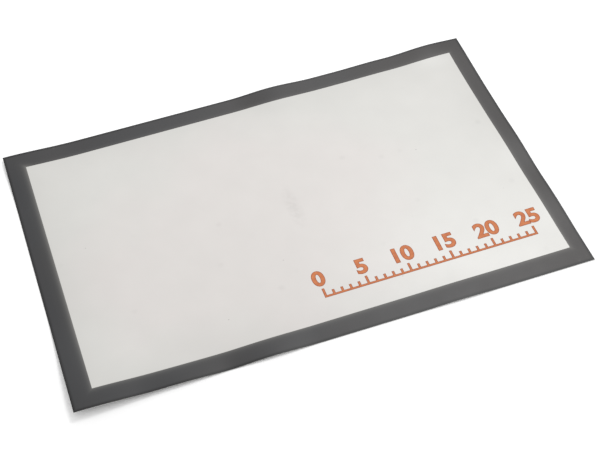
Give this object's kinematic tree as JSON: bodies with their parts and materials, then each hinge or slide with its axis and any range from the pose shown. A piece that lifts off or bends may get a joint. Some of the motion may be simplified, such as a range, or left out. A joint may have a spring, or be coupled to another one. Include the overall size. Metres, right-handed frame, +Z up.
{
  "type": "silicone baking mat",
  "caption": "Thin flexible rectangular baking mat of coated glass cloth with a pale field, a dark border band and a printed centimetre scale; lies on an oven tray under dough.",
  "frame": {"origin": "on the table under the middle of the mat", "axes": "+X along the long side to the right, +Y to the rear long edge, +Z up out of the working face"},
  "size_m": [0.585, 0.385, 0.0091],
  "materials": {
    "silicone_under": "matt translucent silicone, cloth weave faintly felt",
    "glass_cloth": "plain-woven glass yarn",
    "silicone_field": "satin translucent silicone",
    "grey_ink": "satin dark grey silicone ink",
    "orange_ink": "satin orange silicone ink"
  },
  "bodies": {
    "root": {"lower_silicone_coat": "silicone_under", "glass_fibre_cloth": "glass_cloth", "upper_silicone_coat": "silicone_field", "border_band": "grey_ink", "printed_scale": "orange_ink"}
  },
  "joints": []
}
